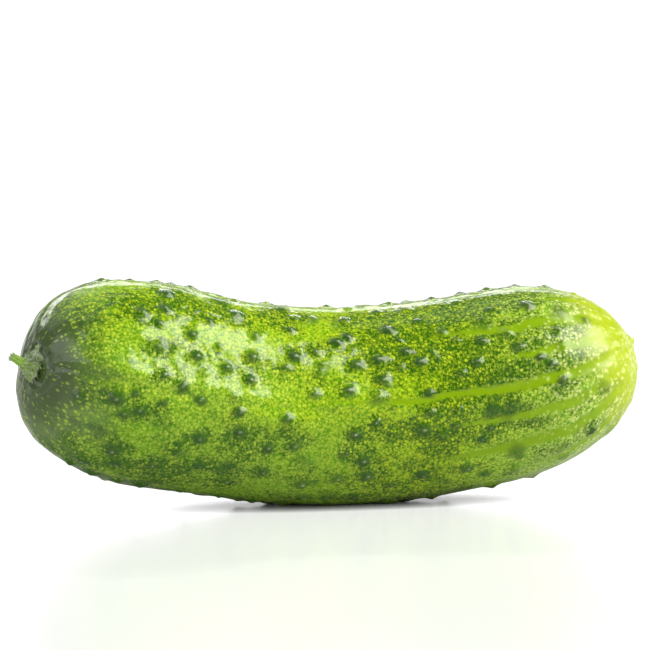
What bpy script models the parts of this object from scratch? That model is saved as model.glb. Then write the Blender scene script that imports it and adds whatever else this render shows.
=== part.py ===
"""A warty pickling cucumber lying on its belly, with a short stub of stem.

The fruit grew as one piece, so it is one solid: a blunt, slightly bent body with three
shallow lobes, covered in small domed tubercles, with a blossom scar at one end and a
shallow seat for the stem at the other. The stub of stem is the second solid.

Frame: metres, +Z up. The stem end points along -X and the blossom end along +X. The
origin is the bottom centre of the whole part's bounding box, on the table.
Round the body, an angle of 0 degrees faces -Y, 90 degrees is the top and -90 the belly.
"""
import math
import random

import bmesh
import bpy
from mathutils import Matrix, Vector

MM = 0.001

# Body
LENGTH = 111.0 * MM          # pole to pole along X
RADIUS = 17.2 * MM           # mean radius of the middle
STEM_CAP = 20.0 * MM         # length over which the stem end rounds off
BLOSSOM_CAP = 27.0 * MM      # the blossom end is more pointed
CAP_POWER = 2.1              # 2 would make the ends plain ellipses
SAG = 6.2 * MM               # how far the ends stand above the middle of the axis
DROOP = 3.0 * MM             # how far the last of the stem end turns down again
STEM_LIFT = 0.9 * MM         # the stem end rides this much higher, the blossom end lower
SWAY = 2.0 * MM              # how far the stem end leans towards -Y
BOW = 3.0 * MM               # how far both ends curve towards -Y
LOBES = 3                    # three seed chambers swell the section
LOBE_DEPTH = 0.018           # swelling, as a share of the radius
BELLY_FLAT = 0.4 * MM        # the belly is pressed flat to this depth where it lies
PROBE = 0.05 * MM            # steps for measuring slopes, along and round
TURN_PROBE = 0.01
RINGS = 42                   # stations along the body
SEGMENTS = 36                # facets round the body

# Tubercles
TUBERCLE_WIDTH = 2.4 * MM
TUBERCLE_HEIGHT = 0.55 * MM
TUBERCLE_STRETCH = 1.2       # a little longer along the fruit than round it
TUBERCLE_SIDES = 6
TUBERCLE_ROOT = 0.6 * MM     # how deep the foot is sunk in the skin
SHOULDER_WIDTH = 0.62        # width and height of the dome's shoulder, as shares
SHOULDER_HEIGHT = 0.5
TUBERCLE_GAP = 2.4 * MM      # no two tips stand closer than this
SEED = 11

# Loose rows of tubercles on the -Y side: the angle in degrees round the body, then the
# distances in millimetres from the stem end.
TUBERCLE_ROWS = (
    (97, (20, 27, 39, 48, 61, 70, 80)),
    (90, (24, 30, 44, 55, 66, 74, 84, 89)),
    (69, (45, 62, 67, 76)),
    (62, (24, 47, 56)),
    (56, (36, 68, 81, 88)),
    (50, (23, 45, 63)),
    (46, (19, 31, 55, 72)),
    (43, (39, 53, 64, 98)),
    (39, (22, 74, 83)),
    (35, (27, 49, 65, 78, 92)),
    (32, (32, 45, 60)),
    (28, (38, 56, 67, 84)),
    (24, (21, 28, 43, 77, 92)),
    (19, (33, 60, 74, 88)),
    (14, (29, 37, 54, 90)),
    (10, (22, 48, 59, 68)),
    (5, (25, 34, 92)),
    (-2, (17, 28, 68, 73)),
    (-5, (22, 35, 43, 59)),
    (-8, (8, 14)),
    (-12, (18, 55, 62, 67, 73)),
    (-16, (15, 35, 70, 79, 86)),
    (-20, (45, 62)),
    (-23, (28, 40, 54, 72, 78)),
    (-28, (12, 47, 57)),
    (-33, (25, 66)),
    (-38, (40, 58, 99)),
    (-41, (14, 29, 53, 68, 76)),
    (-46, (21, 26, 47, 63, 99)),
    (-50, (15, 34, 80, 85)),
    (-57, (10, 48, 52, 57)),
    (-62, (22, 78)),
    (-72, (8, 12, 16, 20, 27, 34, 40, 65, 83)),
)
FAR_SIDE = (74.0, 284.0)     # degrees round the body, the side with no rows of its own
FAR_REACH = (11 * MM, 99 * MM)   # from the stem end
FAR_GAP = 5.4 * MM           # spacing of the tubercles there
FAR_TRIES = 2000
ROW_WANDER = 1.0             # degrees that a tubercle strays from its row
STATION_WANDER = 0.3         # millimetres that it strays along the row
SIZE_RANGE = (0.72, 1.2)     # of the width and height above

# Stem end
STEM_SITE = (38.0, 5.7 * MM)     # degrees round the body, and distance off the pole
SEAT_RADIUS = 2.0 * MM
SEAT_DEPTH = 0.7 * MM
SEAT_PLUG = 3.2 * MM         # length of the plug that cuts the seat
SEAT_SIDES = 16
SEAT_GAP = 0.3 * MM          # between the seat's floor and the stub
STUB_LENGTH = 4.2 * MM
STUB_BASE_RADIUS = 1.6 * MM
STUB_NECK_RADIUS = 0.85 * MM
STUB_TIP_RADIUS = 0.65 * MM
STUB_BEND = math.radians(52)     # the stub turns upwards
STUB_RINGS = 7
STUB_SIDES = 10

# Blossom end
SCAR_SITE = (60.0, 6.3 * MM)     # degrees round the body, and distance off the pole
SCAR_WIDTH = 2.4 * MM
SCAR_HEIGHT = 0.7 * MM

FRUIT_GREEN = (0.085, 0.22, 0.018, 1.0)
STEM_GREEN = (0.42, 0.5, 0.2, 1.0)


def axis_point(x):
    """Centre of the upright section at x.

    The middle sags, both ends curve up and towards -Y, and the stem end droops again.
    """
    share = x / (LENGTH / 2)
    stem_side = max(0.0, -share)
    bend = (1 - math.cos(math.pi * share)) / 2
    rise = SAG * bend - DROOP * stem_side ** 10 - STEM_LIFT * share
    return Vector((x, -BOW * bend - SWAY * stem_side ** 3, rise))


def section_radius(x):
    """Mean radius of the section at x, rounding off to nothing at both poles."""
    cap = STEM_CAP if x < 0 else BLOSSOM_CAP
    into_cap = max(0.0, (abs(x) - (LENGTH / 2 - cap)) / cap)
    return RADIUS * math.sqrt(max(0.0, 1 - into_cap ** CAP_POWER))


def skin_point(x, angle):
    """A point of the skin, with shallow creases between the three lobes."""
    radius = section_radius(x) * (1 - LOBE_DEPTH * math.cos(LOBES * angle))
    return axis_point(x) + Vector((0, -radius * math.cos(angle), radius * math.sin(angle)))


def skin_normal(x, angle):
    """Outward unit vector of the skin, from its two tangents."""
    along = skin_point(x + PROBE, angle) - skin_point(x - PROBE, angle)
    around = skin_point(x, angle + TURN_PROBE) - skin_point(x, angle - TURN_PROBE)
    return along.cross(around).normalized()


def frame_at(origin, normal):
    """A matrix at origin with its Z along normal and its X along the fruit."""
    across = normal.cross(Vector((1, 0, 0))).normalized()
    along = across.cross(normal)
    turn = Matrix((along, across, normal)).transposed()
    return Matrix.Translation(origin) @ turn.to_4x4()


def material(name, colour, roughness):
    result = bpy.data.materials.new(name)
    result.use_nodes = True
    shader = result.node_tree.nodes["Principled BSDF"]
    shader.inputs["Base Color"].default_value = colour
    shader.inputs["Roughness"].default_value = roughness
    shader.inputs["Metallic"].default_value = 0.0
    return result


def object_from(name, bm, finish=None):
    """Turn a bmesh into an object with outward faces."""
    bmesh.ops.recalc_face_normals(bm, faces=bm.faces)
    mesh = bpy.data.meshes.new(name)
    bm.to_mesh(mesh)
    bm.free()
    if finish:
        mesh.materials.append(finish)
    result = bpy.data.objects.new(name, mesh)
    bpy.context.scene.collection.objects.link(result)
    return result


def skin_loops(bm, loops, poles):
    """Bridge a chain of equal rings of vertices and close its ends at the two poles."""
    for first, second in zip(loops, loops[1:]):
        for i in range(len(first)):
            j = (i + 1) % len(first)
            bm.faces.new((first[i], first[j], second[j], second[i]))
    for end, place in zip((loops[0], loops[-1]), poles):
        pole = bm.verts.new(place)
        for i in range(len(end)):
            bm.faces.new((end[i], end[(i + 1) % len(end)], pole))


def make_body():
    """The smooth lobed body: rings set closer together towards both poles."""
    bm = bmesh.new()
    loops = []
    for ring in range(1, RINGS):
        x = -LENGTH / 2 * math.cos(math.pi * ring / RINGS)
        turns = (2 * math.pi * i / SEGMENTS for i in range(SEGMENTS))
        loops.append([bm.verts.new(skin_point(x, turn)) for turn in turns])
    skin_loops(bm, loops, (axis_point(-LENGTH / 2), axis_point(LENGTH / 2)))
    return object_from("fruit", bm, material("cucumber_skin", FRUIT_GREEN, 0.35))


def add_dome(bm, place, width, height, stretch):
    """One tubercle: a six-sided dome with a shoulder, its foot sunk in the skin."""
    rings = ((width / 2, -TUBERCLE_ROOT), (width / 2 * SHOULDER_WIDTH, height * SHOULDER_HEIGHT))
    loops = []
    for radius, lift in rings:
        loop = []
        for i in range(TUBERCLE_SIDES):
            turn = 2 * math.pi * i / TUBERCLE_SIDES
            local = Vector((radius * stretch * math.cos(turn), radius * math.sin(turn), lift))
            loop.append(bm.verts.new(place @ local))
        loops.append(loop)
    tip = bm.verts.new(place @ Vector((0, 0, height)))
    foot, shoulder = loops
    bm.faces.new(reversed(foot))
    for i in range(TUBERCLE_SIDES):
        j = (i + 1) % TUBERCLE_SIDES
        bm.faces.new((foot[i], foot[j], shoulder[j], shoulder[i]))
        bm.faces.new((shoulder[i], shoulder[j], tip))


def tubercle_places():
    """Where the tubercles stand, as (x, angle): the rows, then a seeded far side."""
    rng = random.Random(SEED)
    wanted = []
    for row_angle, stations in TUBERCLE_ROWS:
        for station in stations:
            stray = rng.uniform(-STATION_WANDER, STATION_WANDER)
            turn = rng.uniform(-ROW_WANDER, ROW_WANDER)
            x = -LENGTH / 2 + (station + stray) * MM
            wanted.append((x, math.radians(row_angle + turn), TUBERCLE_GAP))
    for _ in range(FAR_TRIES):
        x = -LENGTH / 2 + rng.uniform(*FAR_REACH)
        wanted.append((x, math.radians(rng.uniform(*FAR_SIDE)), FAR_GAP))
    kept = []
    for x, angle, gap in wanted:
        point = skin_point(x, angle)
        if all((point - other).length > gap for _, _, other in kept):
            kept.append((x, angle, point))
    return kept


def make_tubercles():
    """All the tubercles and the blossom scar in one mesh, ready to join the body."""
    rng = random.Random(SEED + 1)
    bm = bmesh.new()
    for x, angle, point in tubercle_places():
        size = rng.uniform(*SIZE_RANGE)
        place = frame_at(point, skin_normal(x, angle))
        add_dome(bm, place, TUBERCLE_WIDTH * size, TUBERCLE_HEIGHT * size, TUBERCLE_STRETCH)
    point, normal = end_site(1, SCAR_SITE)
    add_dome(bm, frame_at(point, normal), SCAR_WIDTH, SCAR_HEIGHT, 1.0)
    return object_from("tubercles", bm)


def end_site(end, site):
    """The point and normal of a site near the stem (-1) or blossom (+1) pole."""
    angle = math.radians(site[0])
    cap = STEM_CAP if end < 0 else BLOSSOM_CAP
    into_cap = (1 - (site[1] / RADIUS) ** 2) ** (1 / CAP_POWER)
    x = end * (LENGTH / 2 - cap + cap * into_cap)
    return skin_point(x, angle), skin_normal(x, angle)


def join(body, other, operation):
    """Boolean the other object into the body, and hide the other one."""
    cut = body.modifiers.new(other.name, "BOOLEAN")
    cut.operation = operation
    cut.solver = "EXACT"
    cut.object = other
    other.hide_render = True
    other.display_type = "WIRE"


def make_seat():
    """A short plug that cuts the stem's shallow seat into the shoulder."""
    point, normal = end_site(-1, STEM_SITE)
    bm = bmesh.new()
    centre = Matrix.Translation((0, 0, SEAT_PLUG / 2 - SEAT_DEPTH))
    bmesh.ops.create_cone(bm, cap_ends=True, segments=SEAT_SIDES, radius1=SEAT_RADIUS,
                          radius2=SEAT_RADIUS, depth=SEAT_PLUG, matrix=centre)
    bm.transform(frame_at(point, normal))
    return object_from("stem_seat", bm)


def make_floor_cut():
    """A block whose top presses the belly flat."""
    bm = bmesh.new()
    bmesh.ops.create_cube(bm, size=LENGTH)
    depth = LENGTH / 2 + RADIUS - BELLY_FLAT
    bm.transform(Matrix.Translation((0, 0, -depth)))
    return object_from("belly_press", bm)


def make_stub():
    """The stub of stem: a flared foot in the seat, then a neck that turns upwards."""
    point, normal = end_site(-1, STEM_SITE)
    place = frame_at(point, normal)
    centre = place @ Vector((0, 0, SEAT_GAP - SEAT_DEPTH))
    bend_side = normal.cross(Vector((0, 0, 1))).normalized()
    bm = bmesh.new()
    loops = []
    centres = []
    for ring in range(STUB_RINGS):
        share = ring / (STUB_RINGS - 1)
        turn = Matrix.Rotation(STUB_BEND * share, 3, bend_side)
        direction = turn @ normal
        if ring:
            centre = centre + direction * STUB_LENGTH / (STUB_RINGS - 1)
        centres.append(centre)
        flare = (1 - share) ** 4
        radius = STUB_NECK_RADIUS * (1 - share) + STUB_TIP_RADIUS * share
        radius += (STUB_BASE_RADIUS - STUB_NECK_RADIUS) * flare
        across = direction.cross(bend_side)
        loop = []
        for i in range(STUB_SIDES):
            angle = 2 * math.pi * i / STUB_SIDES
            spoke = bend_side * math.cos(angle) + across * math.sin(angle)
            loop.append(bm.verts.new(centre + spoke * radius))
        loops.append(loop)
    skin_loops(bm, loops, (centres[0], centres[-1]))
    return object_from("stem_stub", bm, material("cucumber_stem", STEM_GREEN, 0.7))


def settle(objects):
    """Move every object so that the bounding box's bottom centre is the origin."""
    bpy.context.view_layer.update()
    depsgraph = bpy.context.evaluated_depsgraph_get()
    points = []
    for item in objects:
        if not item.hide_render:
            seen = item.evaluated_get(depsgraph)
            points += [item.matrix_world @ v.co for v in seen.data.vertices]
    low = Vector(min(p[i] for p in points) for i in range(3))
    high = Vector(max(p[i] for p in points) for i in range(3))
    shift = Vector((-(low.x + high.x) / 2, -(low.y + high.y) / 2, -low.z))
    for item in objects:
        item.location = shift
    return high - low


def main():
    for item in list(bpy.data.objects):
        bpy.data.objects.remove(item, do_unlink=True)
    fruit = make_body()
    tubercles = make_tubercles()
    seat = make_seat()
    press = make_floor_cut()
    join(fruit, tubercles, "UNION")
    join(fruit, seat, "DIFFERENCE")
    join(fruit, press, "DIFFERENCE")
    stub = make_stub()
    size = settle([fruit, tubercles, seat, press, stub])
    print("size in mm:", [round(side / MM, 2) for side in size])


main()
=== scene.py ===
# %% [markdown]
# # A warty pickling cucumber
#
# The cucumber lies on its belly. It grew as one piece: a blunt, slightly bent body with a
# skin that is mottled in two greens, over two hundred domed tubercles, pale stripes that run
# out of the blossom end, and a short dry stub of stem at the other end. The construction
# model already fixes its size and where every tubercle stands, so this lesson starts from
# that frame and only makes surfaces finer: nothing is moved or resized.

import math

import bpy
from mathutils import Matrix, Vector


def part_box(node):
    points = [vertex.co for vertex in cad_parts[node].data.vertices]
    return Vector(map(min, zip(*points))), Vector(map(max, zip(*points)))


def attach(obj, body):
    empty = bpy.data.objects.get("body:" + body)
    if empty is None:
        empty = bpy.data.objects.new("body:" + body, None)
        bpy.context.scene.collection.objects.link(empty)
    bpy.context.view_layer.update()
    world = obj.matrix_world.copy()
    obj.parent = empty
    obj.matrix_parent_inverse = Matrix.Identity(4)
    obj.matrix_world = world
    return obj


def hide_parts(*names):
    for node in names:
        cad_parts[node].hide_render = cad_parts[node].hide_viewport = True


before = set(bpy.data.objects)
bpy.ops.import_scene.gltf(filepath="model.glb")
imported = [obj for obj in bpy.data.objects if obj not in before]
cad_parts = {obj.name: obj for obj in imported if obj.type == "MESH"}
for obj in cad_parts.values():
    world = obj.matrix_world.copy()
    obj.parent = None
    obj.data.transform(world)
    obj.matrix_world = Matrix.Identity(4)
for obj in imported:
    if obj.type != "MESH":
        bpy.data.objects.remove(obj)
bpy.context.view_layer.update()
fruit_low, fruit_high = (Vector(corner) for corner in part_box("fruit"))
MM = 0.001
print("fruit, mm:", [round(side / MM, 1) for side in fruit_high - fruit_low])

# %% [markdown]
# ## A bench for formulas
#
# Both the shape and the finish of a fruit follow rules, and Blender keeps such rules in node
# trees. Wiring a long formula by hand takes many lines, so this small bench lets Python's own
# signs build the nodes: `a * 2 + b` adds a Multiply node and an Add node. The same bench
# serves geometry trees and material trees, because both have the same Math nodes.


# %% The bench
class Field:
    """The output of a node: a number or a vector worked out at every point."""

    def __init__(self, bench, socket):
        self.bench = bench
        self.socket = socket

    def __add__(self, other):
        return self.bench.math("ADD", self, other)

    def __sub__(self, other):
        return self.bench.math("SUBTRACT", self, other)

    def __rsub__(self, other):
        return self.bench.math("SUBTRACT", other, self)

    def __mul__(self, other):
        return self.bench.math("MULTIPLY", self, other)

    def __truediv__(self, other):
        return self.bench.math("DIVIDE", self, other)

    def __rtruediv__(self, other):
        return self.bench.math("DIVIDE", other, self)

    def __pow__(self, other):
        return self.bench.math("POWER", self, other)

    __radd__ = __add__
    __rmul__ = __mul__


class Bench:
    """Adds nodes to one tree and links them."""

    def __init__(self, tree):
        self.tree = tree
        self.nodes = tree.nodes
        self.links = tree.links

    def plug(self, value, socket):
        if isinstance(value, Field):
            self.links.new(value.socket, socket)
        elif value is not None:
            socket.default_value = value

    def add(self, kind, *values, **settings):
        """Add a node, set its options and named inputs, and plug values in order."""
        node = self.nodes.new(kind)
        named = settings.pop("inputs", {})
        for option, value in settings.items():
            setattr(node, option, value)
        for socket, value in zip(node.inputs, values):
            self.plug(value, socket)
        for name, value in named.items():
            self.plug(value, node.inputs[name])
        return node

    def out(self, node, name=0):
        return Field(self, node.outputs[name])

    def math(self, operation, *values):
        return self.out(self.add("ShaderNodeMath", *values, operation=operation))

    def vector(self, operation, *values, output="Vector"):
        return self.out(self.add("ShaderNodeVectorMath", *values, operation=operation), output)

    def join(self, x, y, z):
        return self.out(self.add("ShaderNodeCombineXYZ", x, y, z))

    def split(self, vector):
        node = self.add("ShaderNodeSeparateXYZ", vector)
        return [self.out(node, axis) for axis in "XYZ"]

    def clamp(self, value, low=0.0, high=1.0):
        return self.math("MINIMUM", self.math("MAXIMUM", value, low), high)

    def smooth(self, value, start, end):
        """Ease from 0 at start to 1 at end. Start may lie above end."""
        share = self.clamp((value - start) / (end - start))
        return share * share * (3.0 - share * 2.0)

    def bell(self, value, width):
        """A rounded bump, 1 where value is 0, gone past about twice the width."""
        return self.math("EXPONENT", (value / width) ** 2.0 * -1.0)

    def noise(self, where, scale, detail=2.0, roughness=0.5):
        """Soft noise from 0 to 1, mostly near a half."""
        node = self.add("ShaderNodeTexNoise", noise_dimensions="3D", inputs={
            "Vector": where, "Scale": scale, "Detail": detail, "Roughness": roughness})
        return self.out(node)


# %% Trees for Geometry Nodes
KINDS = {float: "NodeSocketFloat", int: "NodeSocketInt", Vector: "NodeSocketVector",
         bpy.types.Object: "NodeSocketObject", bpy.types.Material: "NodeSocketMaterial"}


def start_tree(name, sizes):
    """A geometry tree with one named input for each size, and its fields by name."""
    tree = bpy.data.node_groups.new(name, "GeometryNodeTree")
    tree.interface.new_socket("Geometry", in_out="INPUT", socket_type="NodeSocketGeometry")
    for title, value in sizes.items():
        kind = next(socket for cls, socket in KINDS.items() if isinstance(value, cls))
        tree.interface.new_socket(title, in_out="INPUT", socket_type=kind)
    tree.interface.new_socket("Geometry", in_out="OUTPUT", socket_type="NodeSocketGeometry")
    bench = Bench(tree)
    entry = bench.add("NodeGroupInput")
    fields = {title: bench.out(entry, title) for title in sizes}
    return bench, fields


def end_tree(bench, geometry, material):
    """Finish a tree: real geometry, one material, out."""
    real = bench.out(bench.add("GeometryNodeRealizeInstances", geometry))
    painted = bench.out(bench.add("GeometryNodeSetMaterial", real, inputs={"Material": material}))
    bench.add("NodeGroupOutput", painted)


def grow(name, tree, sizes):
    """Run a tree on an empty object and keep the result as a plain mesh at the origin."""
    seed = bpy.data.objects.new(name + "_seed", bpy.data.meshes.new(name + "_seed"))
    bpy.context.scene.collection.objects.link(seed)
    modifier = seed.modifiers.new(name, "NODES")
    modifier.node_group = tree
    for item in tree.interface.items_tree:
        if item.in_out == "INPUT" and item.name in sizes:
            modifier[item.identifier] = sizes[item.name]
    graph = bpy.context.evaluated_depsgraph_get()
    mesh = bpy.data.meshes.new_from_object(seed.evaluated_get(graph), depsgraph=graph)
    bpy.data.objects.remove(seed, do_unlink=True)
    mesh.name = name
    piece = bpy.data.objects.new(name, mesh)
    bpy.context.scene.collection.objects.link(piece)
    mesh.shade_smooth()
    print(name, "has", len(mesh.polygons), "faces")
    return piece


# %% [markdown]
# ## The law of the body
#
# A cucumber's body is a tube of upright round sections threaded on an axis. The axis sags in
# the middle, both ends curve a little to the front, the stem end more, and its tip droops.
# The two ends round off like ellipses, the blossom end over a longer stretch, and three seed
# chambers swell the section into soft lobes with a crease between them. Modelling by hand
# would give no smooth law to measure the tubercles against. One sheet of squares can be
# rolled into this shape: its length becomes the run from pole to pole, its width the turn
# round the body. Rows are spaced by their distance along the skin, so that the squares stay
# even over the ends, and the seam and both poles are welded shut.

# %% Sizes of the body
corners = [Vector(corner.co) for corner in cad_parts["fruit"].data.vertices]
stem_pole = min(corners, key=lambda corner: corner.x)
blossom_pole = max(corners, key=lambda corner: corner.x)
LENGTH = blossom_pole.x - stem_pole.x
RADIUS = 17.2 * MM
BELLY_FLAT = 0.4 * MM
BOW = 3.0 * MM
SWAY = 2.0 * MM
print("stem pole at", [round(c / MM, 2) for c in stem_pole])
print("blossom pole at", [round(c / MM, 2) for c in blossom_pole])
STEM_SITE = (38.0, 5.7 * MM)       # degrees round the body, distance off the pole
SCAR_SITE = (60.0, 6.3 * MM)

BODY = {
    "Length": LENGTH,
    "Radius": RADIUS,
    "Stem Cap": 20.0 * MM,
    "Blossom Cap": 27.0 * MM,
    "Cap Power": 2.1,
    "Sag": 6.2 * MM,
    "Droop": 3.0 * MM,
    "Stem Lift": 0.9 * MM,
    "Bow": BOW,
    "Sway": SWAY,
    "Lobe Depth": 0.018,
    "Rings": 330,
    "Segments": 288,
    "Origin": Vector((stem_pole.x + LENGTH / 2, stem_pole.y + BOW + SWAY, RADIUS - BELLY_FLAT)),
}


def site_offset(site):
    """Where a site stands off the axis, across the fruit."""
    angle, distance = math.radians(site[0]), site[1]
    return Vector((0, -distance * math.cos(angle), distance * math.sin(angle)))


def quarter_ellipse(cap):
    """Length of the skin over one rounded end."""
    steps = 200
    turns = [math.pi / 2 * (i + 0.5) / steps for i in range(steps)]
    return sum(math.hypot(cap * math.cos(t), RADIUS * math.sin(t)) for t in turns) * math.pi / 2 / steps


stem_run = quarter_ellipse(BODY["Stem Cap"])
blossom_run = quarter_ellipse(BODY["Blossom Cap"])
skin_run = stem_run + blossom_run + LENGTH - BODY["Stem Cap"] - BODY["Blossom Cap"]
BODY["Stem Share"] = stem_run / skin_run
BODY["Blossom Share"] = blossom_run / skin_run
print("skin from pole to pole, mm:", round(skin_run / MM, 1))


# %% The smooth body
def site_line(stem_share, blossom_share, axis):
    """How far the line from stem to scar stands off the body's axis, along Y (1) or Z (2)."""
    stem, blossom = site_offset(STEM_SITE)[axis], site_offset(SCAR_SITE)[axis]
    return stem_share * stem + blossom_share * blossom


def smooth_body(bench, size):
    """Roll a sheet into the lobed body. Gives its geometry, with 'around' and a UV map."""
    pi = math.pi
    sheet = bench.add("GeometryNodeMeshGrid", 1.0, 1.0, size["Rings"], size["Segments"] + 1.0)
    across, round_share, _ = bench.split(bench.out(bench.add("GeometryNodeInputPosition")))
    share = across + 0.5
    angle = (round_share + 0.125) * (2 * pi)

    stem_turn = bench.clamp(1.0 - share / size["Stem Share"]) * (pi / 2)
    blossom_turn = bench.clamp(1.0 - (1.0 - share) / size["Blossom Share"]) * (pi / 2)
    straight = bench.clamp((share - size["Stem Share"])
                           / (1.0 - size["Stem Share"] - size["Blossom Share"]))
    bluntness = 2.0 / size["Cap Power"]
    x = (size["Stem Cap"] - size["Length"] / 2.0
         + straight * (size["Length"] - size["Stem Cap"] - size["Blossom Cap"])
         - size["Stem Cap"] * bench.math("SINE", stem_turn) ** bluntness
         + size["Blossom Cap"] * bench.math("SINE", blossom_turn) ** bluntness)
    radius = size["Radius"] * bench.math("COSINE", stem_turn) * bench.math("COSINE", blossom_turn)
    radius = radius * (1.0 - size["Lobe Depth"] * bench.math("COSINE", angle * 3.0))

    along = x / (size["Length"] / 2.0)
    stem_side = bench.math("MAXIMUM", along * -1.0, 0.0)
    bend = (1.0 - bench.math("COSINE", along * pi)) / 2.0
    rise = size["Sag"] * bend - size["Droop"] * stem_side ** 10.0 - size["Stem Lift"] * along
    lean = size["Bow"] * bend * -1.0 - size["Sway"] * stem_side ** 3.0
    place = bench.join(x, lean - radius * bench.math("COSINE", angle),
                       rise + radius * bench.math("SINE", angle))

    mapped = bench.out(bench.add("GeometryNodeStoreNamedAttribute", data_type="FLOAT2",
                                 domain="CORNER", inputs={
                                     "Geometry": bench.out(sheet), "Name": "OFBake",
                                     "Value": bench.out(sheet, "UV Map")}))
    # 'around' is the direction across the fruit as seen from a line that runs from the
    # stem to the blossom scar, so that the stripes drawn with it meet at those two sites.
    off_axis = (bench.smooth(along, -0.55, -1.0), bench.smooth(along, 0.65, 1.05))
    centre_y, centre_z = (site_line(*off_axis, axis) for axis in (1, 2))
    y = radius * bench.math("COSINE", angle) * -1.0 - centre_y
    z = radius * bench.math("SINE", angle) - centre_z
    reach = bench.math("SQRT", y * y + z * z) + 1e-6
    around = bench.join(y / reach * -1.0, z / reach, along)
    marked = bench.out(bench.add("GeometryNodeStoreNamedAttribute", data_type="FLOAT_VECTOR",
                                 domain="POINT", inputs={
                                     "Geometry": mapped, "Name": "around", "Value": around}))
    rolled = bench.out(bench.add("GeometryNodeSetPosition", marked, inputs={
        "Position": bench.vector("ADD", place, size["Origin"])}))
    return bench.out(bench.add("GeometryNodeMergeByDistance", rolled, inputs={"Distance": 1e-7}))


# %% [markdown]
# ## Tubercles
#
# The knobs of a pickling cucumber are little domes of the skin itself, each with a blunt tip
# where its spine has dropped off. They are already in the construction solid, as coarse
# six-sided domes. Their tips are found there rather than placed again: every corner of the
# solid that stands well clear of the smooth body is a tip, the nearest point of the body is
# its foot, and the distance between them is its height. The fine skin is then raised round
# each foot in a smooth mound with a small tip, a shallow moat round it, and an outline that
# noise makes uneven. Between them stand fainter mounds that hardly grew.

# %% Where the stub stands
def stub_ends():
    """The middles of the stub's two end faces: the points where most triangles meet."""
    met = {}
    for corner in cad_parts["stem_stub"].data.vertices:
        place = tuple(round(c, 6) for c in corner.co)
        met[place] = met.get(place, 0) + 1
    busiest = sorted(met, key=met.get)[-2:]
    return sorted((Vector(place) for place in busiest), key=lambda place: -place.x)


stub_foot, stub_tip = stub_ends()
for end, place in (("foot", stub_foot), ("tip", stub_tip)):
    print("stub's", end, "at, mm:", [round(c / MM, 1) for c in place])

# %% Sizes of the tubercles and of the relief
RELIEF = {
    "Solid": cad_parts["fruit"],
    "Tip Height": 0.37 * MM,       # a corner this far clear of the body is a tip
    "Spread": 2.5,                 # reach of a mound, in heights of its tip
    "Stretch": 1.35,               # mounds are a little longer along the fruit
    "Moat": 0.04 * MM,             # the skin dips round the foot of a mound
    "Faint Mound": 0.3 * MM,       # tubercles that hardly grew
    "Faint Gap": 6.0 * MM,
    "Swelling": 0.42 * MM,
    "Wrinkle": 0.07 * MM,
    "Crease": 0.45 * MM,
    "Ridge": 0.95 * MM,            # long swelling above the front crease
    "Shoulder": 0.7 * MM,          # fullness above the stem
    "Hump": 0.7 * MM,              # low swelling on the back, over the stem half
    "Groove": 0.16 * MM,           # the stripes lie a little lower than the skin
    "Hollow": 0.3 * MM,            # round the stem
    "Pucker": 0.10 * MM,           # pleats that run into the stem
    "Rim": 0.16 * MM,              # broken ridge round the stem
    "Fold": 0.10 * MM,             # thin folds on the stem half
    "Seat": stub_foot,
    "Scar": blossom_pole + site_offset(SCAR_SITE),
    "Finish": bpy.data.materials.new("cucumber_skin"),
}
print("blossom scar at, mm:", [round(c / MM, 1) for c in RELIEF["Scar"]])


# %% Find the tubercles on the construction solid
def tubercle_feet(bench, size, body):
    """Points at the feet of the solid's tubercles, each with its 'height'."""
    solid = bench.out(bench.add("GeometryNodeObjectInfo", size["Solid"]), "Geometry")
    welded = bench.out(bench.add("GeometryNodeMergeByDistance", solid, inputs={"Distance": 1e-6}))
    position = bench.out(bench.add("GeometryNodeInputPosition"))
    normal = bench.out(bench.add("GeometryNodeInputNormal"))
    foot = bench.out(bench.add("GeometryNodeProximity", body, target_element="FACES"))
    facing = bench.out(bench.add("GeometryNodeSampleNearestSurface", data_type="FLOAT_VECTOR",
                                 inputs={"Mesh": body, "Value": normal}))
    height = bench.vector("DOT_PRODUCT", bench.vector("SUBTRACT", position, foot), facing,
                          output="Value")
    measured = bench.out(bench.add("GeometryNodeStoreNamedAttribute", data_type="FLOAT",
                                   domain="POINT", inputs={
                                       "Geometry": welded, "Name": "height", "Value": height}))
    tips = bench.out(bench.add("GeometryNodeSeparateGeometry", measured, domain="POINT", inputs={
        "Selection": bench.math("GREATER_THAN", height, size["Tip Height"])}))
    return bench.out(bench.add("GeometryNodeMeshToPoints", tips, inputs={"Position": foot}))


# %% Spots in a grid of cells
def flecks(bench, place, cell, size, share):
    """Round spots, one in each cell of a grid, kept in a share of the cells."""
    grid = bench.add("ShaderNodeTexVoronoi", inputs={"Vector": place, "Scale": 1.0 / cell})
    chance, growth, paleness = bench.split(bench.out(grid, "Color"))
    radius = size * (growth * 0.5 + 0.6)
    ragged = bench.out(grid) + (bench.noise(place, 1.7 / cell, 1.0) - 0.5) * 0.5
    spot = bench.smooth(ragged, radius * 1.3, radius * 0.4)
    return spot * bench.smooth(share - chance, -0.04, 0.04) * (0.6 + paleness * 0.4)


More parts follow.
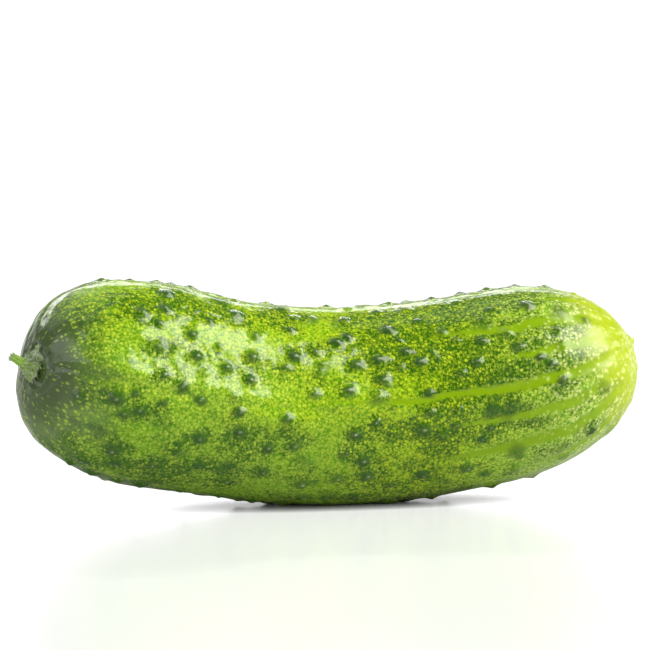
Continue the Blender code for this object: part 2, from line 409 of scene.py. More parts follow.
# %% Mounds round the feet
def mounds(bench, size, feet, position):
    """The tubercles' lift, each point's share of its mound's reach, and the mound's strength."""
    known = bench.add("GeometryNodeInputNamedAttribute", "height", data_type="FLOAT")
    nearest = bench.out(bench.add("GeometryNodeSampleNearest", feet))
    foot = bench.out(bench.add("GeometryNodeSampleIndex", data_type="FLOAT_VECTOR", inputs={
        "Geometry": feet, "Value": position, "Index": nearest}))
    height = bench.out(bench.add("GeometryNodeSampleIndex", data_type="FLOAT", inputs={
        "Geometry": feet, "Value": bench.out(known), "Index": nearest}))
    gap_x, gap_y, gap_z = bench.split(bench.vector("SUBTRACT", position, foot))
    gap_x = gap_x / size["Stretch"]
    gap = bench.math("SQRT", gap_x * gap_x + gap_y * gap_y + gap_z * gap_z)
    uneven = 1.0 + (bench.noise(position, 600.0) - 0.5) * 1.1
    strength = bench.smooth(bench.noise(foot, 330.0), 0.36, 0.6)
    share = gap / (height * size["Spread"]) * uneven
    mound = bench.smooth(share, 1.0, 0.0)
    lift = height * (mound * (0.7 + strength * 0.2) + bench.bell(share, 0.22) * 0.25)
    return lift - bench.bell(share - 1.25, 0.3) * size["Moat"], share, strength


def faint_mounds(bench, size, position, along, share):
    """Mounds that hardly grew, clear of the tubercles and of the stem."""
    faint = flecks(bench, position, cell=size["Faint Gap"], size=0.34, share=0.75)
    return faint * bench.smooth(share, 1.3, 2.2) * bench.smooth(along, -0.8, -0.3)


# %% [markdown]
# ## Relief between the tubercles
#
# No body is as regular as its law, and a glossy skin shows it: a plain tube would mirror each
# light in one straight band. So the skin gets low swellings, fine wrinkles, creases between
# the lobes, a long ridge along the front, a fullness above the stem and a hump behind it. The
# stripes are shallow grooves. The stem sits in a hollow, with pleats and a broken rim round
# it, and thin folds cross the stem half. Sculpting could give the same forms, but as rules
# they join the tubercles in one tree, and each keeps a height that can be turned up or down.


# %% Swellings, creases and ridges
def unevenness(bench, size, position, along):
    """Low swellings, stronger on the stem half, and fine wrinkles."""
    swelling = (bench.noise(position, 75.0) - 0.5) + (bench.noise(position, 170.0) - 0.5) * 0.8
    swelling = swelling * (1.0 + bench.smooth(along, 0.1, -0.5))
    wrinkle = bench.noise(position, 900.0, 3.0) - 0.5
    return swelling * size["Swelling"] + wrinkle * size["Wrinkle"]


def long_forms(bench, size, angle, across_z, along):
    """Creases between the lobes, the front ridge, the fullness above the stem, the hump."""
    wander = (bench.noise(bench.join(along, 0.0, 0.0), 3.0) - 0.5) * 0.2
    lobe = bench.math("COSINE", (angle + wander) * 3.0)
    crease = bench.math("EXPONENT", (lobe - 1.0) / 0.03) * bench.smooth(along, 0.5, -0.2)
    crease = crease * bench.smooth(along, -0.99, -0.8)
    high = angle - (bench.noise(bench.join(along, 5.0, 0.0), 3.5) - 0.5) * 0.5
    ridge = bench.bell(high - 0.04, 0.17) * bench.smooth(along, 0.45, -0.1)
    ridge = ridge * bench.smooth(along, -0.98, -0.7)
    shoulder = bench.bell(along + 0.92, 0.09) * bench.smooth(across_z, -0.1, 0.8)
    hump = bench.bell(along + 0.52, 0.13) * bench.smooth(across_z, 0.4, 1.0)
    return (ridge * size["Ridge"] - crease * size["Crease"]
            + shoulder * size["Shoulder"] + hump * size["Hump"])


# %% Stripes
STRIPES = 10
STRIPE_TURN = math.radians(6)


def stripes(bench, position, angle, across_y, across_z, along):
    """Stripes that widen towards the blossom end, each with a length of its own."""
    drift = (bench.noise(position, 60.0) - 0.5) * 0.16
    comb = bench.math("COSINE", (angle + drift - STRIPE_TURN) * float(STRIPES))
    broad = 0.05 + bench.smooth(along, 0.2, 1.0) * 0.42
    length = bench.noise(bench.join(across_y, across_z, 0.0), 2.2) * 1.6 - 0.9
    length = length + bench.bell(angle - 0.1, 0.2) * 0.5 + bench.bell(angle + 0.21, 0.12) * 0.3
    stripe = bench.math("EXPONENT", (comb - 1.0) / broad) * bench.smooth(along + length, -0.1, 0.5)
    between = bench.math("EXPONENT", (comb * -1.0 - 1.0) / (broad * 0.6))
    return stripe + between * bench.smooth(along + length, 0.3, 0.6)


# %% The skin round the stem
PLEATS = 7.0
PLEATS_AT, PLEATS_WIDTH = 3.5 * MM, 1.8 * MM       # distances from the seat
RIM_AT, RIM_WIDTH = 3.1 * MM, 0.5 * MM
GAP_AT, GAP_WIDTH = 4.1 * MM, 0.3 * MM             # the dip outside the rim


def round_stem(bench, size, position, angle, along, seat):
    """A hollow with pleats and a broken rim, and thin folds over the stem half."""
    hollow = bench.smooth(seat, 5.0 * MM, 1.5 * MM)
    spokes = bench.math("COSINE", angle * PLEATS + bench.noise(position, 400.0) * 3.0)
    pucker = spokes * bench.bell(seat - PLEATS_AT, PLEATS_WIDTH)
    lift = pucker * size["Pucker"] - hollow * size["Hollow"]
    ragged = seat + (bench.noise(position, 260.0) - 0.5) * (3.0 * MM)
    rim = bench.bell(ragged - RIM_AT, RIM_WIDTH) * 1.2 - bench.bell(ragged - GAP_AT, GAP_WIDTH)
    folds = bench.noise(bench.vector("MULTIPLY", position, (0.5, 1.0, 1.0)), 150.0, 3.0) - 0.5
    fold = bench.bell(folds, 0.012) * bench.smooth(along, 0.0, -0.5)
    return lift + rim * size["Rim"] - fold * size["Fold"]


# %% Raise the skin
def store(bench, geometry, name, value, kind="FLOAT"):
    """Keep a field on the points under a name that a material can read."""
    return bench.out(bench.add("GeometryNodeStoreNamedAttribute", data_type=kind, domain="POINT",
                               inputs={"Geometry": geometry, "Name": name, "Value": value}))


def raise_skin(bench, size, body, feet):
    """Add up all the lifts, keep what the finish needs, and push the skin outwards."""
    position = bench.out(bench.add("GeometryNodeInputPosition"))
    normal = bench.out(bench.add("GeometryNodeInputNormal"))
    direction = bench.add("GeometryNodeInputNamedAttribute", "around", data_type="FLOAT_VECTOR")
    across_y, across_z, along = bench.split(bench.out(direction))
    angle = bench.math("ARCTAN2", across_z, across_y)
    seat = bench.vector("DISTANCE", position, size["Seat"], output="Value")
    scar = bench.vector("DISTANCE", position, size["Scar"], output="Value")

    lift, share, strength = mounds(bench, size, feet, position)
    faint = faint_mounds(bench, size, position, along, share)
    stripe = stripes(bench, position, angle, across_y, across_z, along)
    lift = lift + faint * size["Faint Mound"] - stripe * size["Groove"]
    lift = lift + unevenness(bench, size, position, along)
    lift = lift + long_forms(bench, size, angle, across_z, along)
    lift = lift + round_stem(bench, size, position, angle, along, seat)

    skin = body
    for name, value in (("tubercle", share), ("strength", strength), ("faint", faint),
                        ("stripe", stripe), ("seat", seat), ("scar", scar)):
        skin = store(bench, skin, name, value)
    skin = bench.out(bench.add("GeometryNodeSetPosition", skin, inputs={
        "Offset": bench.vector("SCALE", normal, None, None, lift)}))
    # Nothing reaches below the table.
    x, y, z = bench.split(position)
    return bench.out(bench.add("GeometryNodeSetPosition", skin, inputs={
        "Position": bench.join(x, y, bench.math("MAXIMUM", z, 0.0))}))


# %% Grow the skin
sizes = {**BODY, **RELIEF}
bench, size = start_tree("cucumber skin", sizes)
body = smooth_body(bench, size)
feet = tubercle_feet(bench, size, body)
end_tree(bench, raise_skin(bench, size, body, feet), size["Finish"])
skin = grow("skin", bench.tree, sizes)
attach(skin, "root")
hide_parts("fruit")

# %% [markdown]
# ## Finish of the skin
#
# The green of a cucumber lies in a thin layer of cells, broken by thousands of pale flecks.
# At the stem the ground is dark and the flecks are few, small and drawn out towards the
# stem. Over the middle they crowd into a fine mottle. At the blossom end the ground turns
# lime, the flecks are larger and paler, and clean stripes run back from the scar. The
# tubercles are dark, with a pale dot where the spine stood that is partly a painted glint.
# Above the stub the skin has healed over a tear, with painted shade in the crease along its
# edge. Some tones are painted light and shade: paler on the upper front of the stem half and
# on the lower right, deeper on the underside and the far top, a paler sheen with duller
# flecks low on the stem half, and a grey sheen under the stem end. The wax is glossy in some
# places and bloomed in others, and duller towards the blossom end. An image could hold all
# this, but a rule for each kind of mark stays sharp at any distance. The rules read only the
# place on the fruit and the values that the geometry tree left on it, so the pattern stays
# where it is, from whichever side the fruit is seen.

# %% Colours
def shade(code):
    """A colour written as six hex digits, as the linear values that shaders use."""
    parts = [int(code[i:i + 2], 16) / 255 for i in (0, 2, 4)]
    return tuple(p / 12.92 if p < 0.04045 else ((p + 0.055) / 1.055) ** 2.4 for p in parts) + (1.0,)


STEM_GREEN = shade("4a5c36")
# a painted sheen for the underside of the stem end
STEM_PAINTED_SHEEN = shade("708259")
LEAF_GREEN = shade("609800")
DEEP_GREEN = shade("2f6300")
LIME = shade("acc200")
FLECK_STEM = shade("a3c24a")
FLECK_MIDDLE = shade("c4dc1c")
FLECK_PALE = shade("cbe678")
FLECK_LIME = shade("e2ec94")
TUBERCLE_GREEN = shade("2f5020")
STRIPE_GREEN = shade("86ac00")
SCAR_GREEN = shade("5f7f3c")
SCAR_PALE = shade("c3cda8")
CREASE_SHADE_GREEN = shade("23300f")


def mix(bench, share, first, second):
    node = bench.add("ShaderNodeMix", data_type="RGBA")
    for index, value in ((0, share), (6, first), (7, second)):
        bench.plug(value, node.inputs[index])
    return bench.out(node, 2)


def read(bench, name, output="Fac"):
    return bench.out(bench.add("ShaderNodeAttribute", attribute_name=name), output)


# %% [markdown]
# ## Marks drawn from places
#
# Every mark asks the same few questions of a point. How far is it from the stem, from the
# blossom scar and from the nearest tubercle? Which side and which patch is it in? They are
# answered once, in a survey, and each mark is then a short rule on the answers. Distances are
# turned into millimetres first, because a fleck is a few tenths of one across.

# %% Sizes of the marks, in millimetres
IN_MM = 1000.0                 # places are stored in metres
STEM_REACH = (17.0, 5.0)       # from the seat: the stem end's green sets in, and is full
LIME_REACH = (20.0, 12.0)      # from the scar: the same for lime
DOT_REACH = (34.0, 18.0)       # from the scar: the same for pale dots
DULL_REACH = (30.0, 14.0)      # from the scar: the same for bloomed wax
HEALED_REACH = (3.8, 3.4)      # from the seat: the same for scar tissue
# where the painted shade in the crease round the stem lies, from the seat, and how wide
CREASE_SHADE_AT, CREASE_SHADE_WIDTH = 4.1, 0.25
FLECK_CELL, SMALL_CELL = 0.58, 0.34
DASH_CELL, DOT_CELL = 0.75, 0.75


# %% What each point of the skin knows
class Survey:
    """A holder for the fields that the marks are drawn from."""


def survey_skin(bench):
    """Where each point lies, in millimetres, and which part of the skin it belongs to."""
    at = Survey()
    place = bench.out(bench.add("ShaderNodeTexCoord"), "Object")
    at.place = bench.vector("SCALE", place, None, None, IN_MM)
    x, y, z = bench.split(at.place)
    at.drawn_out = bench.join(x * 0.6, y, z)
    at.across_y, at.across_z, at.along = bench.split(read(bench, "around", "Vector"))
    at.seat = read(bench, "seat") * IN_MM
    at.scar = read(bench, "scar") * IN_MM
    at.patches = bench.noise(at.drawn_out, 0.22, 3.0) - 0.5
    at.clumps = bench.noise(at.place, 0.9, 2.0, 0.6) - 0.5
    at.fine = bench.noise(at.place, 2.2, 3.0, 0.65) - 0.5
    at.stem_end = bench.smooth(at.seat + at.patches * 14.0, *STEM_REACH)
    at.lime_end = bench.smooth(at.scar + at.patches * 10.0 + at.fine * 5.0, *LIME_REACH)
    at.stripe = bench.clamp(read(bench, "stripe"))
    at.clean = bench.smooth(at.stripe + at.fine * 0.9 + at.clumps * 0.5, 0.25, 0.8)
    at.tubercle = read(bench, "tubercle")
    at.strength = read(bench, "strength") * 0.75 + 0.25
    core = bench.smooth(at.tubercle + at.fine * 0.6 + at.clumps + at.patches, 1.0, 0.2)
    core = bench.math("MAXIMUM", core * at.strength, read(bench, "faint") * 0.8)
    at.core = core * (1.0 - at.lime_end)
    return at


# %% How deep the green is
def find_tone(bench, at):
    """From pale to deep: patches, bands, tubercle halos, and painted light and shade by side."""
    at.stem_half = bench.smooth(at.along, -0.2, -0.75)
    # Painted light: the upper front of the stem half is painted paler, where the softbox falls.
    at.lit = bench.bell(at.along + 0.55, 0.4) * bench.bell(at.across_z - 0.22, 0.32)
    # Painted light: the lower right is painted paler, as light thrown up by the table would make it.
    at.low_right = bench.smooth(at.along, 0.2, 0.5) * bench.smooth(at.across_z, -0.2, -0.6)
    # Painted sheen and shade low on the stem half: paler ground, duller flecks.
    at.low_left = bench.smooth(at.across_z, 0.05, -0.35) * bench.smooth(at.along, 0.3, -0.2)
    # Painted shade: the top of the blossom half is painted deeper, against the softbox's light.
    painted_shade_far_top = bench.smooth(at.along, -0.05, 0.35) * bench.smooth(at.across_z, -0.2, 0.3)
    # Painted shade: the underside is painted a little deeper.
    painted_shade_below = bench.smooth(at.across_z, 0.15, -0.5)
    bands = bench.noise(bench.join(at.across_y, at.across_z, at.along * 0.8), 2.4) - 0.5
    halo = bench.smooth(at.tubercle + at.fine * 0.8 + at.patches * 1.5, 2.2, 0.9)
    halo = halo * (1.0 - at.lime_end)
    tone = at.patches + at.clumps * 0.45 + bands * 0.8 + halo * 0.14 + painted_shade_below * 0.05
    tone = tone - at.lit * 0.26 - at.low_right * 0.24 - at.low_left * 0.1
    tone = tone + bench.smooth(at.along, 0.0, 0.3) * 0.09 + painted_shade_far_top * 0.12 + at.stem_half * 0.13
    at.tone = tone


# %% Where the flecks are
def find_flecks(bench, at):
    """Round flecks of two sizes, dashes at the stem and a fine mottle, none in the stripes."""
    crowd = 0.95 - bench.smooth(at.tone, 0.0, 0.25) * 0.4 - at.core * 0.3 - at.stem_half * 0.15
    crowd = crowd - bench.smooth(at.clumps, 0.0, 0.2) * 0.3
    crowd = crowd * (1.0 - at.stem_end) * (1.0 - at.lime_end)
    larger = flecks(bench, at.place, cell=FLECK_CELL, size=0.56, share=crowd)
    smaller = flecks(bench, at.place, cell=SMALL_CELL, size=0.5, share=crowd * 0.6)
    rays = bench.join(at.seat * 0.6, at.across_y * 10.0, at.across_z * 10.0)
    dashes = flecks(bench, rays, cell=DASH_CELL, size=0.34, share=0.5)
    dashes = dashes * bench.smooth(at.stem_end, 0.0, 0.3)
    mottle = bench.smooth(bench.noise(at.place, 2.2, 3.0, 0.7), 0.45, 0.6) * crowd
    spots = larger
    for others in (smaller * 0.8, dashes, mottle * 0.7):
        spots = bench.math("MAXIMUM", spots, others)
    return spots * (1.0 - at.clean) * (1.0 - at.core * 0.8)


def find_dots(bench, at):
    """Pale dots near the blossom end, most of them along the edges of the stripes."""
    edge = bench.bell(at.stripe - 0.25, 0.15)
    dots = flecks(bench, at.place, cell=DOT_CELL, size=0.55, share=0.3 + edge * 0.6)
    return dots * bench.smooth(at.scar, *DOT_REACH)


# %% The greens
def ground_green(bench, at):
    """Two greens by tone, the stem end's and blossom end's over them, a painted sheen under the stem.
    """
    ground = mix(bench, bench.smooth(at.tone, -0.12, 0.2), LEAF_GREEN, DEEP_GREEN)
    # Painted sheen: the stem end's underside is painted a paler grey.
    below = bench.smooth(at.across_z, -0.1, -0.6) * bench.smooth(at.seat, 6.0, 12.0)
    ground = mix(bench, at.stem_end, ground, mix(bench, below, STEM_GREEN, STEM_PAINTED_SHEEN))
    return mix(bench, at.lime_end, ground, LIME)


def fleck_green(bench, at):
    """Yellow-green, paler at the blossom end and in painted light, duller at stem and painted shade."""
    # The flecks are painted paler in the painted light and on the lower right.
    pale = bench.smooth(at.along, 0.25, 0.85) * 0.7 + at.lit * 0.4 + at.low_right * 0.2
    fleck = mix(bench, bench.clamp(pale), FLECK_MIDDLE, FLECK_PALE)
    fleck = mix(bench, bench.math("MAXIMUM", at.stem_end, at.low_left * 0.65), fleck, FLECK_STEM)
    return mix(bench, at.lime_end, fleck, FLECK_LIME)


# %% The colour of the skin
def skin_colour(bench, at, spots):
    """Ground, stripes, flecks, dots and tubercles, laid over one another."""
    stripe_green = mix(bench, at.lime_end, STRIPE_GREEN, LIME)
    colour = mix(bench, at.clean, ground_green(bench, at), stripe_green)
    colour = mix(bench, spots * 0.95, colour, fleck_green(bench, at))
    colour = mix(bench, find_dots(bench, at) * 0.9, colour, FLECK_LIME)
    colour = mix(bench, at.core * 0.8, colour, TUBERCLE_GREEN)
    # A pale dot at each tubercle's tip: the spine's scar, partly a painted glint.
    tip = bench.bell(at.tubercle, 0.13) * bench.smooth(at.strength, 0.4, 0.6)
    return mix(bench, tip * 0.8, colour, SCAR_PALE)


def add_scar_tissue_and_crease_shade(bench, at, colour):
    """Healed skin above the stub, with painted shade along the crease at its edge."""
    torn = at.seat + (bench.noise(at.place, 0.7) - 0.5) * 3.0
    healed = bench.smooth(torn, *HEALED_REACH) * bench.smooth(at.across_z, 0.1, 0.6)
    tissue = mix(bench, bench.smooth(at.fine, -0.1, 0.1), SCAR_GREEN, SCAR_PALE)
    colour = mix(bench, healed * 0.8, colour, tissue)
    # Painted shade: a dark line in the dip outside the rim round the stem.
    painted_crease_shade = bench.bell(torn - CREASE_SHADE_AT, CREASE_SHADE_WIDTH) * bench.smooth(at.across_z, -0.5, 0.1)
    return mix(bench, painted_crease_shade * 0.85, colour, CREASE_SHADE_GREEN)


# %% The skin's finish
SKIN_SURFACE = {
    "Subsurface Weight": 0.1,
    "Subsurface Radius": (0.6, 1.0, 0.1),
    "Subsurface Scale": 0.8 * MM,
    "Coat Weight": 0.08,
    "Coat Roughness": 0.08,
    "IOR": 1.43,
}


def finish_skin(material):
    """Colour, uneven wax, pores, and a little light that passes into the flesh."""
    material.use_nodes = True
    bench = Bench(material.node_tree)
    shader = bench.nodes["Principled BSDF"]
    at = survey_skin(bench)
    find_tone(bench, at)
    spots = find_flecks(bench, at)
    colour = add_scar_tissue_and_crease_shade(bench, at, skin_colour(bench, at, spots))
    bench.plug(colour, shader.inputs["Base Color"])
    waxy = bench.noise(at.drawn_out, 0.5, 4.0)
    dull = bench.smooth(at.scar, *DULL_REACH) * 0.12
    bench.plug(0.09 + waxy * 0.13 + spots * 0.05 + dull, shader.inputs["Roughness"])
    pores = at.fine - spots * 0.25 + bench.bell(at.tubercle, 0.3) * 2.5
    bump = bench.add("ShaderNodeBump", inputs={
        "Strength": 0.22, "Distance": 0.12 * MM, "Height": pores})
    bench.plug(bench.out(bump), shader.inputs["Normal"])
    for title, value in SKIN_SURFACE.items():
        shader.inputs[title].default_value = value


finish_skin(RELIEF["Finish"])
print("skin finish has", len(RELIEF["Finish"].node_tree.nodes), "nodes")

# %% [markdown]
# ## The stub of stem
#
# The stalk broke off a few millimetres from the fruit. It is fibrous: ridges run along it,
# it flares into the fruit at its foot, and its broken end is rough. A tree sweeps a ridged
# ring along a short bent line from the foot to the tip, and the ring's width follows the
# run. Torn fibres cover the broken tip, and a collar of them hides where stalk and fruit
# have grown together. They are one tapered hair, set many times over the surface with
# different leans and lengths, which a tree does faster and more evenly than a hand.

# %% Sizes of the stub
stem_normal = skin.closest_point_on_mesh(stub_foot)[1]
STALK = {
    "Foot": stub_foot - stem_normal * 0.8 * MM,
    "Knee": stub_foot + stem_normal * (stub_tip - stub_foot).length * 0.5,
    "Tip": stub_tip,
    "Foot Radius": 1.75 * MM,
    "Neck Radius": 0.8 * MM,
    "Tip Radius": 0.6 * MM,
    "Ridge": 0.14,
    "Ridges": 7.0,
    "Grain": 0.065 * MM,
    "Crowd": 2.6e7,                # grains for each square metre
    "Finish": bpy.data.materials.new("cucumber_stem"),
}


# %% Sweep the stalk
def sweep_stalk(bench, size):
    """A ribbed tube from the foot to the tip, with rough skin and closed ends."""
    line = bench.out(bench.add("GeometryNodeCurveQuadraticBezier", inputs={
        "Resolution": 72, "Start": size["Foot"], "Middle": size["Knee"], "End": size["Tip"]}))
    run = bench.out(bench.add("GeometryNodeSplineParameter"))
    flare = (1.0 - run) ** 4.0
    width = (size["Neck Radius"] * (1.0 - run) + size["Tip Radius"] * run
             + (size["Foot Radius"] - size["Neck Radius"]) * flare)
    rounded = bench.math("SQRT", bench.clamp((1.02 - run) * 14.0))
    line = store(bench, line, "run", run)
    line = bench.out(bench.add("GeometryNodeSetCurveRadius", line, inputs={
        "Radius": width * rounded}))
    ring = bench.out(bench.add("GeometryNodeCurvePrimitiveCircle", inputs={
        "Resolution": 96, "Radius": 1.0}))
    x, y, _ = bench.split(bench.out(bench.add("GeometryNodeInputPosition")))
    turn = bench.math("ARCTAN2", y, x)
    ring = store(bench, ring, "turn", bench.join(x, y, 0.0), "FLOAT_VECTOR")
    ridged = 1.0 + bench.math("COSINE", turn * size["Ridges"]) * size["Ridge"]
    ring = bench.out(bench.add("GeometryNodeSetPosition", ring, inputs={
        "Position": bench.join(x * ridged, y * ridged, 0.0)}))
    # Curve to Mesh scales its profile by the line's radius through this input.
    radius = bench.out(bench.add("GeometryNodeInputRadius"))
    tube = bench.out(bench.add("GeometryNodeCurveToMesh", inputs={
        "Curve": line, "Profile Curve": ring, "Scale": radius, "Fill Caps": True}))
    position = bench.out(bench.add("GeometryNodeInputPosition"))
    normal = bench.out(bench.add("GeometryNodeInputNormal"))
    grain = (bench.noise(position, 1400.0, 3.0) - 0.5) * (0.35 * MM)
    return bench.out(bench.add("GeometryNodeSetPosition", tube, inputs={
        "Offset": bench.vector("SCALE", normal, None, None, grain)}))


# %% Set the fibres
BARE_MIDDLE, BARE_HALF = 0.72, 0.2     # the stretch of the stalk's run that has no fibres
FIBRE_SEED = 0


def add_fibres(bench, size, stalk):
    """Tapered grains on the flared foot and the broken tip, leaning every way."""
    run = bench.out(bench.add("GeometryNodeInputNamedAttribute", "run", data_type="FLOAT"))
    torn = bench.math("GREATER_THAN", (run - BARE_MIDDLE) ** 2.0, BARE_HALF ** 2)
    spread = bench.add("GeometryNodeDistributePointsOnFaces", inputs={
        "Mesh": stalk, "Selection": torn, "Density": size["Crowd"], "Seed": FIBRE_SEED})
    lean = bench.out(bench.add("FunctionNodeRandomValue", data_type="FLOAT_VECTOR", inputs={
        "Min": (-0.9, -0.9, -0.9), "Max": (0.9, 0.9, 0.9), "Seed": FIBRE_SEED}))
    way = bench.vector("ADD", bench.out(spread, "Normal"), lean)
    turn = bench.out(bench.add("FunctionNodeAlignRotationToVector", axis="Z",
                               inputs={"Vector": way}))
    grain = bench.out(bench.add("GeometryNodeMeshCone", inputs={
        "Vertices": 5, "Side Segments": 2, "Radius Top": 0.03 * MM,
        "Radius Bottom": size["Grain"], "Depth": size["Grain"] * 7.0}))
    grain = store(bench, grain, "grain", 1.0)
    length = bench.noise(bench.out(bench.add("GeometryNodeInputPosition")), 5000.0) * 2.4 - 0.3
    return bench.out(bench.add("GeometryNodeInstanceOnPoints", inputs={
        "Points": bench.out(spread), "Instance": grain, "Rotation": turn,
        "Scale": bench.join(length, length, length)}))


# %% Grow the stub
bench, size = start_tree("stem stub", STALK)
stalk_mesh = sweep_stalk(bench, size)
fibres = add_fibres(bench, size, stalk_mesh)
both = bench.add("GeometryNodeJoinGeometry")
for part in (stalk_mesh, fibres):
    bench.plug(part, both.inputs[0])
end_tree(bench, bench.out(both), size["Finish"])
stalk = grow("stalk", bench.tree, STALK)
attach(stalk, "root")
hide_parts("stem_stub")


# %% The stub's finish
STALK_GREEN = shade("5f9422")
STALK_PALE = shade("b4d75f")
FOOT_GREEN = shade("8f9f68")
FIBRE_GREEN = shade("76a040")
FIBRE_PALE = shade("e6ebd4")
FIBRE_GAP_SHADE = shade("4d5a34")


def finish_stalk(material):
    """Fibres that run along the stalk, torn pale ones at its foot, and painted shade in the gaps."""
    material.use_nodes = True
    bench = Bench(material.node_tree)
    shader = bench.nodes["Principled BSDF"]
    place = bench.out(bench.add("ShaderNodeTexCoord"), "Object")
    place = bench.vector("SCALE", place, None, None, IN_MM)
    run = read(bench, "run")
    x, y, _ = bench.split(read(bench, "turn", "Vector"))
    fibres = bench.noise(bench.join(x * 4.0, y * 4.0, run * 2.0), 3.0, 4.0, 0.7)
    grains = bench.noise(place, 5.0, 3.0, 0.7)
    colour = mix(bench, bench.smooth(fibres, 0.35, 0.65), STALK_GREEN, STALK_PALE)
    foot = bench.smooth(run + grains * 0.3, 0.35, 0.05)
    colour = mix(bench, foot * 0.6, colour, FOOT_GREEN)
    tuft = mix(bench, bench.smooth(grains, 0.4, 0.6), FIBRE_GREEN, FIBRE_PALE)
    colour = mix(bench, read(bench, "grain"), colour, tuft)
    # Painted shade: dark patches that stand for the gaps between the fibres.
    colour = mix(bench, bench.smooth(grains, 0.62, 0.72) * 0.6, colour, FIBRE_GAP_SHADE)
    bench.plug(colour, shader.inputs["Base Color"])
    shader.inputs["Roughness"].default_value = 0.62
    bump = bench.add("ShaderNodeBump", inputs={
        "Strength": 0.6, "Distance": 0.1 * MM, "Height": fibres + grains})
    bench.plug(bench.out(bump), shader.inputs["Normal"])


finish_stalk(STALK["Finish"])
print("stub finish has", len(STALK["Finish"].node_tree.nodes), "nodes")

# %% [markdown]
# ## Table, light and camera
#
# The fruit lies on a plain white table with a slight gloss, in front of a white backdrop.
# One large, slightly warm softbox stands high at the right front. It models the body and
# leaves the broken white patches on the upper skin and the pale patch on the blossom end. A
# weak box on the left fills the stem end, another lifts the far side, and a thin strip
# behind draws the bright line along the back. The lower half gets only what the table and a
# dim room give it, which keeps it deep. A long lens, a little above the table, keeps both
# ends in proportion.
#
# A white table lit as strongly as the fruit would not look white, because the camera would
# see its shading. So the table glows for the camera only. For the light it sends back to the
# fruit it is a plain pale surface, a little darker where the glossy skin mirrors it. A tight
# shade where the fruit touches it keeps the fruit from floating.

# %% The table
TABLE_AS_SEEN = (0.05, 0.05, 0.05, 1.0)
TABLE_AS_LIGHT = (0.68, 0.68, 0.67, 1.0)
TABLE_AS_MIRRORED = (0.5, 0.5, 0.49, 1.0)
TABLE_GLOW = 0.76
TABLE_REACH = 3.0              # from the middle to each edge, in metres
TABLE_GLOSS = 0.55
TABLE_ROUGHNESS = 0.22
CONTACT_SHADE = 4 * MM         # how far the shade reaches from where the fruit touches


def make_table():
    """A flat square under the fruit, staged so that it is no part of the object."""
    reach = TABLE_REACH
    corners = [(-reach, -reach, 0), (reach, -reach, 0), (reach, reach, 0), (-reach, reach, 0)]
    mesh = bpy.data.meshes.new("table")
    mesh.from_pydata(corners, [], [(0, 1, 2, 3)])
    table = bpy.data.objects.new("table", mesh)
    bpy.context.scene.collection.objects.link(table)
    material = bpy.data.materials.new("table_white")
    material.use_nodes = True
    bench = Bench(material.node_tree)
    bench.nodes.remove(bench.nodes["Principled BSDF"])
    ray = bench.add("ShaderNodeLightPath")
    seen, mirrored = bench.out(ray, "Is Camera Ray"), bench.out(ray, "Is Glossy Ray")
    tone = mix(bench, mirrored, TABLE_AS_LIGHT, TABLE_AS_MIRRORED)
    tone = mix(bench, seen, tone, TABLE_AS_SEEN)
    chalk = bench.add("ShaderNodeBsdfDiffuse", inputs={"Color": tone})
    glaze = bench.add("ShaderNodeBsdfGlossy", inputs={
        "Color": (1, 1, 1, 1), "Roughness": TABLE_ROUGHNESS})
    both = bench.add("ShaderNodeMixShader", seen * TABLE_GLOSS, bench.out(chalk), bench.out(glaze))
    nook = bench.add("ShaderNodeAmbientOcclusion", inputs={"Distance": CONTACT_SHADE})
    open_air = bench.out(nook, "AO")
    glow = bench.add("ShaderNodeEmission", (1, 1, 1, 1), seen * open_air * TABLE_GLOW)
    lit = bench.add("ShaderNodeAddShader", bench.out(both), bench.out(glow))
    bench.plug(bench.out(lit), bench.nodes["Material Output"].inputs["Surface"])
    mesh.materials.append(material)
    print("table finish has", len(bench.nodes), "nodes")


make_table()


# %% Lights
LIGHT_DISTANCE = 6.0
NEUTRAL, WARM = (1.0, 1.0, 1.0), (1.0, 0.965, 0.85)
SOFTBOXES = (
    # name, azimuth and elevation in degrees, size in metres, radiance, tint
    ("softbox_right", 63, 35, (4.6, 5.0), 7.6, WARM),
    ("softbox_left", -62, 26, (5.0, 4.0), 1.9, NEUTRAL),
    ("softbox_left_back", 215, 62, (6.0, 6.0), 0.6, NEUTRAL),
    ("strip_behind", 180, 31, (7.0, 0.3), 12.0, NEUTRAL),
)


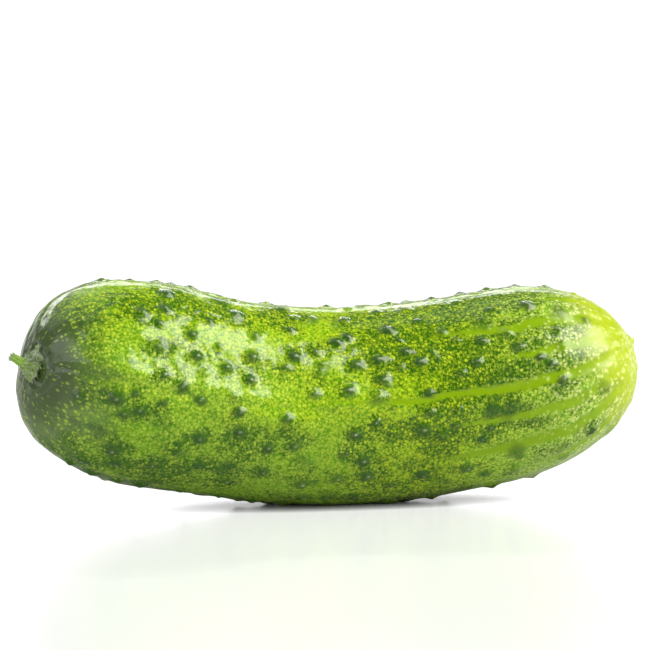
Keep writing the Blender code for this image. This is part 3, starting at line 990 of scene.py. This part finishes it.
def add_softbox(name, azimuth, elevation, size, radiance, tint):
    """A rectangular light that faces the fruit. Azimuth 0 is in front, 180 is behind."""
    turn, tilt = math.radians(azimuth), math.radians(elevation)
    way = Vector((math.sin(turn) * math.cos(tilt), -math.cos(turn) * math.cos(tilt), math.sin(tilt)))
    light = bpy.data.lights.new(name, "AREA")
    light.shape = "RECTANGLE"
    light.size, light.size_y = size
    light.energy = radiance * math.pi * size[0] * size[1]
    light.color = tint
    lamp = bpy.data.objects.new(name, light)
    bpy.context.scene.collection.objects.link(lamp)
    lamp.location = way * LIGHT_DISTANCE
    lamp.rotation_euler = (-way).to_track_quat("-Z", "Y").to_euler()
    print(name, "at", [round(c, 2) for c in lamp.location])


for softbox in SOFTBOXES:
    add_softbox(*softbox)


# %% The room
def light_room(dim, horizon):
    """White wherever it is looked at. As light, a dim room that is white low down behind."""
    world = bpy.data.worlds.new("room")
    world.use_nodes = True
    bench = Bench(world.node_tree)
    background = bench.nodes["Background"]
    direction = bench.out(bench.add("ShaderNodeTexCoord"), "Generated")
    _, back, height = bench.split(direction)
    seen = bench.out(bench.add("ShaderNodeLightPath"), "Is Camera Ray")
    glow = dim + bench.smooth(height, 0.3, 0.1) * bench.smooth(back, -0.6, 0.2) * (horizon - dim)
    bench.plug(bench.math("MAXIMUM", glow, seen), background.inputs["Strength"])
    background.inputs["Color"].default_value = (1, 1, 1, 1)
    bpy.context.scene.world = world


light_room(dim=0.2, horizon=1.1)
bpy.context.scene.view_settings.view_transform = "Standard"

# %% Camera
AZIMUTH, ELEVATION = math.radians(-16), math.radians(5)
CAMERA_DISTANCE = 0.45
LENS = 143.0
AIM_RIGHT, AIM_UP = -0.8 * MM, 14.1 * MM     # the fruit sits low in the frame


def make_camera():
    """A long lens in front of the fruit, a little above it and to the stem's side."""
    middle = BODY["Origin"]
    back = Vector((math.sin(AZIMUTH) * math.cos(ELEVATION),
                   -math.cos(AZIMUTH) * math.cos(ELEVATION), math.sin(ELEVATION)))
    right = Vector((math.cos(AZIMUTH), math.sin(AZIMUTH), 0))
    up = back.cross(right)
    data = bpy.data.cameras.new("camera")
    data.lens = LENS
    data.clip_start = 0.01
    camera = bpy.data.objects.new("camera", data)
    bpy.context.scene.collection.objects.link(camera)
    camera.location = middle + back * CAMERA_DISTANCE
    aim = middle + right * AIM_RIGHT + up * AIM_UP - camera.location
    camera.rotation_euler = aim.to_track_quat("-Z", "Y").to_euler()
    bpy.context.scene.camera = camera
    print("camera at", [round(c, 3) for c in camera.location])


make_camera()
